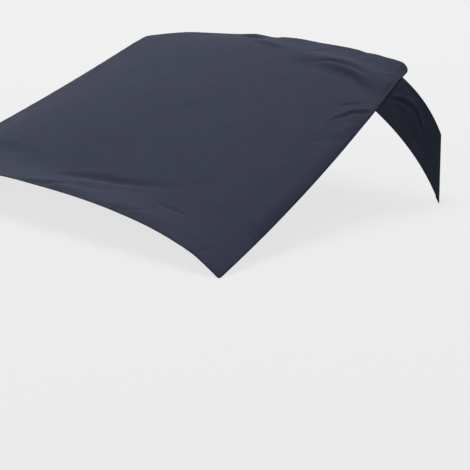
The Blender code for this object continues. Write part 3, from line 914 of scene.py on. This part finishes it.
# %% Flap folds
FLAP_FACE_LENGTH = 0.240
FLAP_FOLDS = (
    (0.011, (
        (0.087, 0.004, 0.5), (0.080, 0.016, 2), (0.0625, 0.033, 2.8), (0.055, 0.052, 3.2),
        (0.048, 0.071, 3.4), (0.0475, 0.0895, 3), (0.048, 0.105, 2.6), (0.056, 0.114, 2.4),
        (0.0635, 0.1255, 2), (0.074, 0.144, 1.5), (0.086, 0.160, 0),
    )),
    (0.010, (
        (0.0995, 0.009, -0.5), (0.0925, 0.021, -1.6), (0.0745, 0.040, -2), (0.0675, 0.056, -2.2),
        (0.0605, 0.073, -2.4), (0.060, 0.0895, -2.2), (0.060, 0.101, -2), (0.0665, 0.108, -1.8),
        (0.0735, 0.118, -1.6), (0.084, 0.1365, -1.2), (0.096, 0.152, 0),
    )),
    (0.010, (
        (0.104, 0.004, 0), (0.095, 0.023, 1.6), (0.088, 0.040, 1.8), (0.085, 0.060, 1),
        (0.09, 0.080, 0),
    )),
    (0.022, (
        (0.03, 0.01, 0), (0.022, 0.05, -1.6), (0.02, 0.09, -1.6), (0.03, 0.15, 0),
    )),
    (0.030, (
        (0.14, 0.05, 0), (0.128, 0.10, -1.8), (0.12, 0.15, -1.8), (0.12, 0.20, 0),
    )),
)


def flap_lift(down, along):
    """How far the flap's folds lift it, at distances down the seam and along the flap."""
    return sum(lift_of(fold, down, along) for fold in FLAP_FOLDS)


# %% Flap form
def seam_place(from_side, down):
    """A place just under the panel's hem, on the right side."""
    t = mix(SEAM_START, SEAM_END, down) / SIDE_LENGTH
    x = half_width(t) - from_side
    return panel_point(x, t) - panel_normal(x, t) * (HEM + SEAM_GAP)


def flap_controls(down):
    """Start, middle control and end of the flap's curves at shares of the way down."""
    start = seam_place(0.0, down)
    tip = np.array([FLAP_REACH, HALF_DEPTH - FLAP_TIP_BACK, 0.0]) + PANEL_SHIFT * (0, 1, 0)
    tip[2] = cad_low.z
    upper = tip + np.array([-END_EDGE_IN, END_EDGE_FORWARD, END_EDGE_RISE])
    end = mix(upper, tip, down[:, None])
    seam = seam_place(0.0, np.array([1.0])) - seam_place(0.0, np.array([0.0]))
    outwards = unit(np.cross(seam, end - start))
    crown = mix(FLAP_CROWN_UPPER, FLAP_CROWN_LOWER, down)[:, None]
    return start, (start + end) / 2 + outwards * crown, end, outwards


def bezier(start, middle, end, share):
    return mix(mix(start, middle, share), mix(middle, end, share), share)


def flap_places(down, face_steps, bend_steps, tail_steps, seam_steps):
    """Rows and columns of places from the seam over the face and the bend to the tail."""
    start, middle, end, outwards = flap_controls(down)
    bend_start = end + unit(middle - end) * TAIL_BEND
    columns = [seam_place(step, down) for step in seam_steps]
    for step in face_steps:
        seam_distance = down * (SEAM_END - SEAM_START)
        lift = flap_lift(seam_distance, np.full(down.shape, step * FLAP_FACE_LENGTH))[:, None]
        columns.append(bezier(start, middle, bend_start, step) + outwards * lift)
    bend_end = end + TAIL_DIRECTION * TAIL_BEND
    columns += [bezier(bend_start, end, bend_end, step) for step in bend_steps]
    columns += [end + TAIL_DIRECTION * step for step in tail_steps]
    return np.stack(columns, axis=1)


# %% Flap cloth
def make_flap(name, side):
    seam_length = SEAM_END - SEAM_START
    down_lines = grid_lines(seam_length, ((seam_length, FLAP_CELL),))
    face_steps = np.linspace(0.0, 1.0, round(FLAP_FACE_LENGTH / FLAP_CELL) + 1)[1:]
    bend_steps = np.linspace(0.0, 1.0, BEND_CELLS + 1)[1:]
    tail_bands = ((TAIL_DEPTH, FLAP_CELL),)
    tail_lines = grid_lines(TAIL_DEPTH - TAIL_BEND, tail_bands, hem_at_end=False)
    tail_steps = (TAIL_DEPTH - tail_lines[::-1])[1:]
    seam_steps = np.linspace(SEAM_UNDERLAP, 0.0, SEAM_CELLS + 1)
    places = flap_places(down_lines / seam_length, face_steps, bend_steps, tail_steps, seam_steps)

    over_face = face_steps * FLAP_FACE_LENGTH
    over_bend = FLAP_FACE_LENGTH + bend_steps * BEND_ARC
    over_tail = FLAP_FACE_LENGTH + BEND_ARC - TAIL_BEND + tail_steps
    along = np.concatenate([-seam_steps, over_face, over_bend, over_tail])
    inside = np.full(len(along) - len(tail_steps), FLAP_FACE_LENGTH)
    from_end = np.concatenate([inside, TAIL_DEPTH - tail_steps])
    from_rim = np.minimum(down_lines, seam_length - down_lines)
    from_edge = np.minimum(from_rim[:, None], from_end[None, :])
    flat = np.stack(np.broadcast_arrays(along[None, :], -down_lines[:, None]), axis=-1)
    run = np.gradient(places, axis=1)
    fall = np.gradient(places, axis=0)
    places = places - unit(np.cross(fall, run)) * upper_dip(from_edge)[..., None]
    if side < 0:
        places = (places * (-1, 1, 1))[:, ::-1]
        flat, from_edge = flat[:, ::-1], from_edge[:, ::-1]
    return sheet_object(name, places, flat, from_edge, flap_polyester_shaded)


flaps = {}
for side, word in ((1, "right"), (-1, "left")):
    flaps[word] = make_flap(f"{word}_flap_cloth", side)
    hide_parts(f"{word}_side_flap")
    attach(flaps[word], "root")
print("flaps:", sorted(flaps))

# %% [markdown]
# ## Stitches
#
# A lockstitch shows as a row of short threads in the groove that it pulls into the cloth, on
# both faces. Each stitch here is a small long bead of 20 faces, laid along the cloth. There are
# thousands of them, so they stay that simple. They are 4 mm apart, as on such hems.

# %% Stitch maker
STITCH_PITCH = 0.004
STITCH_HALF_LENGTH = 0.00155
THREAD_RADIUS = 0.00026
THREAD_RAISED = 0.3 * THREAD_RADIUS
LOOK_AHEAD = 0.001


def at_stops(stops, walked, vectors):
    """Vectors at stops on the way along a row."""
    return np.stack([np.interp(stops, walked, vectors[:, axis]) for axis in range(3)], axis=1)


def stitches_object(name, rows):
    """Rows of stitches. A row is two arrays: the places that it runs through, and the normals."""
    beads = bmesh.new()
    size = Matrix.Diagonal((STITCH_HALF_LENGTH, THREAD_RADIUS, THREAD_RADIUS, 1.0))
    for places, normals in rows:
        steps = np.linalg.norm(np.diff(places, axis=0), axis=1)
        walked = np.concatenate([[0.0], np.cumsum(steps)])
        count = int(walked[-1] / STITCH_PITCH)
        stops = (np.arange(count) + 0.5) * walked[-1] / count
        centres = at_stops(stops, walked, places)
        ups = at_stops(stops, walked, normals)
        ahead = at_stops(stops + LOOK_AHEAD, walked, places)
        for centre, up, front in zip(centres, ups, ahead):
            along = Vector(front - centre).normalized()
            sideways = Vector(up).cross(along).normalized()
            turn = Matrix((along, sideways, along.cross(sideways))).transposed().to_4x4()
            place = Matrix.Translation(Vector(centre)) @ turn @ size
            bmesh.ops.create_icosphere(beads, subdivisions=1, radius=1.0, matrix=place)
    return bmesh_object(name, beads, thread)


def on_both_faces(places, normals, dip, thickness):
    """The same row on the upper face and on the underside."""
    upper = places - normals * (dip - THREAD_RAISED)
    under = places - normals * (dip + thickness + THREAD_RAISED)
    return [(upper, normals), (under, -normals)]


# %% Panel stitches
def panel_row(x, t):
    return panel_point(x, t), panel_normal(x, t)


ROW_PLACES, BOTTOM_ROW_PLACES = 400, 500
line_t = STITCH_LINE / SIDE_LENGTH
hem_dip, hem_thickness = float(upper_dip(STITCH_LINE)), float(cloth_thickness(STITCH_LINE))
top_end = half_width(line_t) - STITCH_LINE
bottom_end = half_width(1 - line_t) - STITCH_LINE
down_t = np.linspace(line_t, 1 - line_t, ROW_PLACES)
top_x = np.linspace(-top_end, top_end, ROW_PLACES)
bottom_x = np.linspace(-bottom_end, bottom_end, BOTTOM_ROW_PLACES)
hem_rows = []
for row_x, row_t in (
    (top_x, np.full(top_x.shape, line_t)),
    (bottom_x, np.full(bottom_x.shape, 1 - line_t)),
    (half_width(down_t) - STITCH_LINE, down_t),
    (STITCH_LINE - half_width(down_t), down_t),
):
    hem_rows += on_both_faces(*panel_row(row_x, row_t), hem_dip, hem_thickness)
hem_stitches = stitches_object("panel_hem_stitches", hem_rows)
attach(hem_stitches, "root")
print("panel hem stitches:", len(hem_stitches.data.polygons) // 20)

# %% [markdown]
# ## Seams of the flaps
#
# Each flap is sewn on with a second row, close to the panel's edge, and both rows turn back at
# the seam's ends. The second row is what shows on the upper face.

# %% Seam stitches
SEAM_ROW, SEAM_ROW_INSET = 0.0035, 0.002
SEAM_ROW_PLACES, TURN_PLACES = 60, 6
seam_down = np.linspace(SEAM_START + SEAM_ROW_INSET, SEAM_END - SEAM_ROW_INSET, SEAM_ROW_PLACES)
seam_t = seam_down / SIDE_LENGTH
for side, word in ((1, "right"), (-1, "left")):
    places, normals = panel_row(side * (half_width(seam_t) - SEAM_ROW), seam_t)
    rows = [(places + normals * THREAD_RAISED, normals)]
    under = places - normals * (HEM + SEAM_GAP + CLOTH + THREAD_RADIUS)
    rows.append((under, -normals))
    for end_t in (seam_t[0], seam_t[-1]):
        from_side = np.linspace(SEAM_ROW, STITCH_LINE, TURN_PLACES)
        end_x = side * (half_width(end_t) - from_side)
        end_places, end_normals = panel_row(end_x, np.full(end_x.shape, end_t))
        rows.append((end_places + end_normals * THREAD_RAISED, end_normals))
    seam_stitches = stitches_object(f"{word}_seam_stitches", rows)
    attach(seam_stitches, "root")
    print(word, "seam stitches:", len(seam_stitches.data.polygons) // 20)

# %% [markdown]
# ## Pockets and magnets
#
# A pocket is a round patch, sewn on with two rings of stitches, with the disc magnet under its
# raised middle. The patch is a turned shape: half of its section is drawn once, from the middle
# to the rim, and spun round. It is turned into the place and direction of its mount.

# %% Pocket patches
MAGNET_RADIUS = 0.010
MAGNET_THICKNESS = 0.002
MAGNET_CLEARANCE = 0.0003
POCKET_SIDES = 72
POCKET_FLOOR = 2 * MAGNET_CLEARANCE + MAGNET_THICKNESS + CLOTH
RIM_FLOOR = MAGNET_CLEARANCE + CLOTH
MIDDLE_FLAT = 0.006
SLOPE_START, SLOPE_END, SLOPE_STEPS = MAGNET_RADIUS + 0.0005, MAGNET_RADIUS + 0.0042, 6
INNER_RING, OUTER_RING = 0.0155, 0.0185
RING_DIP_START, RING_DIP = 0.0165, 0.0002
RIM_ROUNDING = 0.0003
MERGE_DISTANCE = 0.000005


def seat_matrix(seat):
    """Turns Z to the seat's upward direction and puts the origin on the panel's underside."""
    up = -Vector(seat["axis"])
    across = Vector((1.0, 0.0, 0.0)).cross(up).normalized()
    turn = Matrix((across, up.cross(across), up)).transposed().to_4x4()
    return Matrix.Translation(Vector(seat["pos_m"]) + up * POCKET_FLOOR) @ turn


def pocket_section():
    """The underside of the patch as (radius, depth), from its middle to its rim."""
    section = [(0.0, -POCKET_FLOOR), (MIDDLE_FLAT, -POCKET_FLOOR)]
    for share in np.arange(SLOPE_STEPS + 1) / SLOPE_STEPS:
        depth = mix(POCKET_FLOOR, RIM_FLOOR, float(ease(share)))
        section.append((mix(SLOPE_START, SLOPE_END, share), -depth))
    section += [(RING_DIP_START, -RIM_FLOOR), (OUTER_RING, -RIM_FLOOR - RING_DIP)]
    section.append((POCKET_RADIUS - RIM_ROUNDING, -RIM_FLOOR))
    section.append((POCKET_RADIUS, -RIM_FLOOR + RIM_ROUNDING))
    return section


def pocket_patch(number, seat):
    turned = bmesh.new()
    section = [turned.verts.new((radius, 0.0, depth)) for radius, depth in pocket_section()]
    edges = [turned.edges.new(pair) for pair in zip(section, section[1:])]
    bmesh.ops.spin(
        turned,
        geom=section + edges,
        cent=(0.0, 0.0, 0.0),
        axis=(0.0, 0.0, 1.0),
        dvec=(0.0, 0.0, 0.0),
        angle=2 * math.pi,
        steps=POCKET_SIDES,
        use_merge=True,
    )
    bmesh.ops.remove_doubles(turned, verts=turned.verts, dist=MERGE_DISTANCE)
    bmesh.ops.recalc_face_normals(turned, faces=turned.faces)
    turned.faces.ensure_lookup_table()
    if sum(face.normal.z for face in turned.faces) > 0:
        bmesh.ops.reverse_faces(turned, faces=turned.faces)
    flat = turned.loops.layers.uv.new("flat_metres")
    for face in turned.faces:
        for corner in face.loops:
            corner[flat].uv = (corner.vert.co.x, corner.vert.co.y)
    edge = turned.verts.layers.float.new("from_edge")
    for vert in turned.verts:
        from_rim = max(0.0, POCKET_RADIUS - math.hypot(vert.co.x, vert.co.y))
        # The distance starts past the painted rim shade, so the painted stitch-groove shade falls
        # between the two rings.
        vert[edge] = from_rim + RIM_SHADE_WIDTH
    turned.transform(seat_matrix(seat))
    patch = bmesh_object(f"pocket_patch_{number}", turned, pocket_polyester)
    solid = patch.modifiers.new("thickness", "SOLIDIFY")
    solid.thickness = CLOTH
    solid.offset = -1.0
    return patch


# %% Pocket stitches
def ring_row(seat, radius, depth):
    matrix = seat_matrix(seat)
    angles = np.linspace(0.0, 2 * math.pi, POCKET_SIDES + 1)
    circle = [Vector((radius * math.cos(a), radius * math.sin(a), depth)) for a in angles]
    places = np.array([matrix @ place for place in circle])
    normals = np.tile(np.array(seat["axis"]), (len(angles), 1))
    return places, normals


patches = []
for number, seat in enumerate(pocket_seats, start=1):
    patch = pocket_patch(number, seat)
    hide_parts(f"magnet_pocket_{number}")
    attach(patch, "root")
    patches.append(patch)
    rings = [ring_row(seat, OUTER_RING, -RIM_FLOOR - RING_DIP)]
    rings.append(ring_row(seat, INNER_RING, -RIM_FLOOR))
    ring_stitches = stitches_object(f"pocket_stitches_{number}", rings)
    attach(ring_stitches, "root")
    magnet_finish = nodes[f"magnet_{number}"].data.materials
    magnet_finish.clear()
    magnet_finish.append(nickel)
print("pockets:", len(patches))

# %% [markdown]
# ## Looking up the ring stitches
#
# Each pocket's ring stitches are looked up by name once more; nothing else is done here.


for number, patch in enumerate(patches, start=1):
    ring_stitches = bpy.data.objects[f"pocket_stitches_{number}"]

# %% [markdown]
# ## How close the cloth lies to the solid
#
# The fine cloth should stay where the solid is. The distance from its places to the solid's
# surface is measured here, so that a wrong size shows at once.

# %% Fit check
solid_panel = bmesh.new()
solid_panel.from_mesh(nodes["main_panel"].data)
tree = BVHTree.FromBMesh(solid_panel)
solid_panel.free()
gaps = [tree.find_nearest(Vector(place))[3] for place in panel_places[::4, ::4].reshape(-1, 3)]
print(f"panel to solid: mean {np.mean(gaps) * 1000:.2f} mm, most {max(gaps) * 1000:.2f} mm")

# %% [markdown]
# ## Floor and light
#
# The cover stands on a plain pale floor in a plain soft studio. One wide lamp hangs above and
# behind it on the left, so the laps that face up are lighter than the steep middle, and the right
# flap is in the shade. The floor is painted a pale grey and glows a little for the camera only.
# The world is white for the camera and in reflections, and lights the cloth with a dim sky.

# %% Floor
FLOOR_HALF_SIZE = 40.0
FLOOR_GAP = 0.0006
FLOOR_GLOW, FLOOR_GLOW_SHARE = 0.95, 0.78

paint, paint_tree, paint_shader = new_material("matt_studio_paint")
paint_shader.inputs["Base Color"].default_value = linear("#E6E6E8")
paint_shader.inputs["Roughness"].default_value = 0.9
camera_ray = add_node(paint_tree, "LightPath").outputs["Is Camera Ray"]
sockets = {"Color": linear("#FFFFFF"), "Strength": FLOOR_GLOW}
glow = add_node(paint_tree, "Emission", sockets)
sockets = {0: camera_ray, 1: FLOOR_GLOW_SHARE}
glow_share = add_node(paint_tree, "Math", sockets, operation="MULTIPLY")
pale = add_node(paint_tree, "MixShader", {0: glow_share, 1: paint_shader, 2: glow})
paint_tree.links.new(pale.outputs[0], paint_tree.nodes["Material Output"].inputs["Surface"])

floor_grid = bmesh.new()
bmesh.ops.create_grid(floor_grid, x_segments=1, y_segments=1, size=FLOOR_HALF_SIZE)
bmesh.ops.translate(floor_grid, vec=(0.0, 0.0, cad_low.z - FLOOR_GAP), verts=floor_grid.verts)
bmesh_object("studio_floor", floor_grid, paint)

# %% World
WORLD_LIGHT = 0.24

world = bpy.data.worlds.new("soft_studio")
bpy.context.scene.world = world
world.use_nodes = True
world_tree = world.node_tree
sky = world_tree.nodes["Background"]
sky.inputs["Color"].default_value = linear("#F4F6FA")
sky.inputs["Strength"].default_value = WORLD_LIGHT
sockets = {"Color": linear("#FFFFFF"), "Strength": 1.0}
white = add_node(world_tree, "Background", sockets)
seen = add_node(world_tree, "LightPath").outputs
sockets = {0: seen["Is Camera Ray"], 1: seen["Is Glossy Ray"]}
either = add_node(world_tree, "Math", sockets, operation="MAXIMUM")
sockets = {0: either, 1: seen["Is Transmission Ray"]}
any_of_three = add_node(world_tree, "Math", sockets, operation="MAXIMUM")
backdrop = add_node(world_tree, "MixShader", {0: any_of_three, 1: sky, 2: white})
world_tree.links.new(backdrop.outputs[0], world_tree.nodes["World Output"].inputs["Surface"])


# %% Lamps
def soft_lamp(name, place, target, width, power):
    lamp = new_object(name, bpy.data.lights.new(name, "AREA"))
    lamp.data.shape = "DISK"
    lamp.data.size = width
    lamp.data.energy = power
    lamp.location = place
    lamp.rotation_euler = (Vector(target) - Vector(place)).to_track_quat("-Z", "Y").to_euler()


KEY_PLACE, KEY_TARGET = (-3.2, 3.0, 7.7), (0.0, 0.0, 0.2)
KEY_WIDTH, KEY_POWER = 5.0, 360.0
soft_lamp("key_lamp", KEY_PLACE, KEY_TARGET, KEY_WIDTH, KEY_POWER)

# %% [markdown]
# ## Finish
#
# The picture shows colours as they are, so the view transform is Standard.

# %% Finish
bpy.context.scene.view_settings.view_transform = "Standard"
